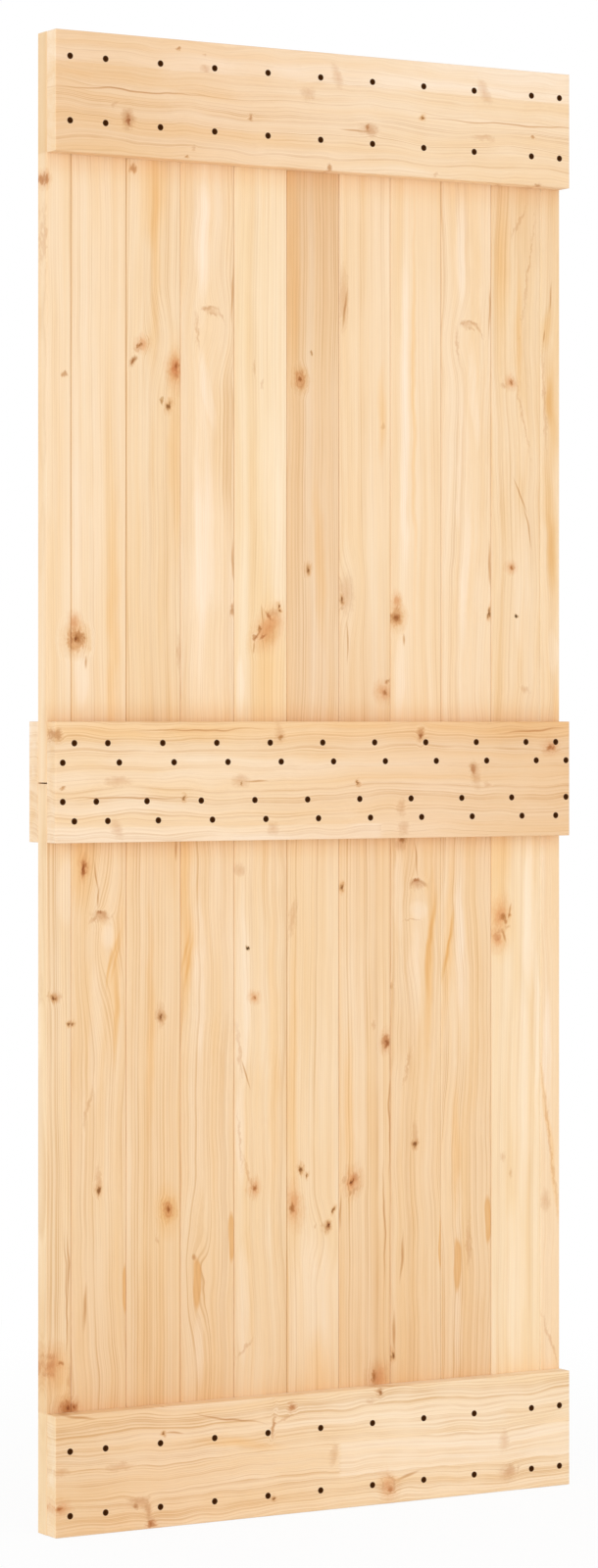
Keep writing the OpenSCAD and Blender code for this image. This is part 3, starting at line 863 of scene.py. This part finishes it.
# %% Screw coating
COATING = [(0.3, srgb(62, 31, 2)), (0.7, srgb(74, 37, 3))]
CLOUDS = (0.7, 0.7, 0.7)
SCREWS = ["top_rail_screws", "middle_rail_screws", "bottom_rail_screws"]
coating, shader, place = new_material("screw_coating")
cloud = noise(place.vector("SCALE", place, Scale=MM), CLOUDS, seed=5.0, detail=3.0)
plug(shader, "Base Color", cloud.add("ShaderNodeValToRGB", {"stops": COATING}, {"Fac": cloud}))
plug(shader, "Roughness", cloud * 0.2 + 0.5)
plug(shader, "Specular IOR Level", 0.05)
for group in SCREWS:
    nodes[group].data.materials.clear()
    nodes[group].data.materials.append(coating)
print("coated", SCREWS)

# %% [markdown]
# ## Studio
# A pale floor under soft, even light: a bright room all round, one large lamp on the left and a weak
# one on the right. To the camera the floor fades into a white background a little way from the leaf,
# and keeps its shadow.

# %% Floor
FLOOR_REACH = 12
FLOOR_DROP = 0.001

# How white the floor is to the camera beside the leaf, and where it turns all white, in metres.
NEAR_WHITE = 0.92
FADE_START = 0.4
FADE_END = 2.0

floor_mesh = bpy.data.meshes.new("floor")
sheet = bmesh.new()
bmesh.ops.create_grid(sheet, x_segments=1, y_segments=1, size=FLOOR_REACH)
sheet.to_mesh(floor_mesh)
sheet.free()
floor = bpy.data.objects.new("floor", floor_mesh)
floor.location.z = -FLOOR_DROP
bpy.context.scene.collection.objects.link(floor)
paint, shader, place = new_material("studio_floor")
plug(shader, "Base Color", (0.96, 0.96, 0.96, 1))
plug(shader, "Roughness", 0.9)
plug(shader, "Specular IOR Level", 0.1)
far = place.vector("LENGTH", place)
sockets = {"Value": far, "From Min": FADE_START, "From Max": FADE_END, "To Min": NEAR_WHITE, "To Max": 1.0}
fade = far.add("ShaderNodeMapRange", {"interpolation_type": "SMOOTHSTEP"}, sockets)
camera_ray = far.add("ShaderNodeLightPath")
white = far.add("ShaderNodeEmission", None, {"Color": (1, 1, 1, 1), "Strength": 1.0})
shaders = {0: fade * camera_ray, 1: Wire(shader.outputs[0]), 2: white}
floor_mix = far.add("ShaderNodeMixShader", None, shaders)
surface = paint.node_tree.nodes["Material Output"].inputs["Surface"]
paint.node_tree.links.new(floor_mix.socket, surface)
floor_mesh.materials.append(paint)
print("floor of", 2 * FLOOR_REACH, "m")

# %% Backdrop
AMBIENT = 0.755
world = bpy.data.worlds.new("studio")
bpy.context.scene.world = world
world.use_nodes = True
sky = world.node_tree.nodes["Background"]
rays = Wire(world.node_tree.nodes.new("ShaderNodeLightPath").outputs["Is Camera Ray"])
seen = rays.math("MAXIMUM", rays, rays.also("Is Transmission Ray"))
plug(sky, "Color", (1, 1, 1, 1))
plug(sky, "Strength", seen * (1 - AMBIENT) + AMBIENT)
bpy.context.scene.view_settings.view_transform = "Standard"
print("backdrop ready")

# %% Lamps
def lamp(name, place, aim, size, power):
    """A square soft lamp that faces a point."""
    data = bpy.data.lights.new(name, "AREA")
    data.shape = "SQUARE"
    data.size = size
    data.energy = power
    holder = bpy.data.objects.new(name, data)
    holder.location = place
    holder.rotation_euler = (Vector(aim) - Vector(place)).to_track_quat("-Z", "Y").to_euler()
    bpy.context.scene.collection.objects.link(holder)


LEAF_MIDDLE = (0, 0, 1.0)
lamp("key", place=(-6.8, -4.2, 1.3), aim=LEAF_MIDDLE, size=5.0, power=212)
lamp("fill", place=(3.5, -4.0, 1.3), aim=LEAF_MIDDLE, size=3.0, power=36)
print("lamps ready")
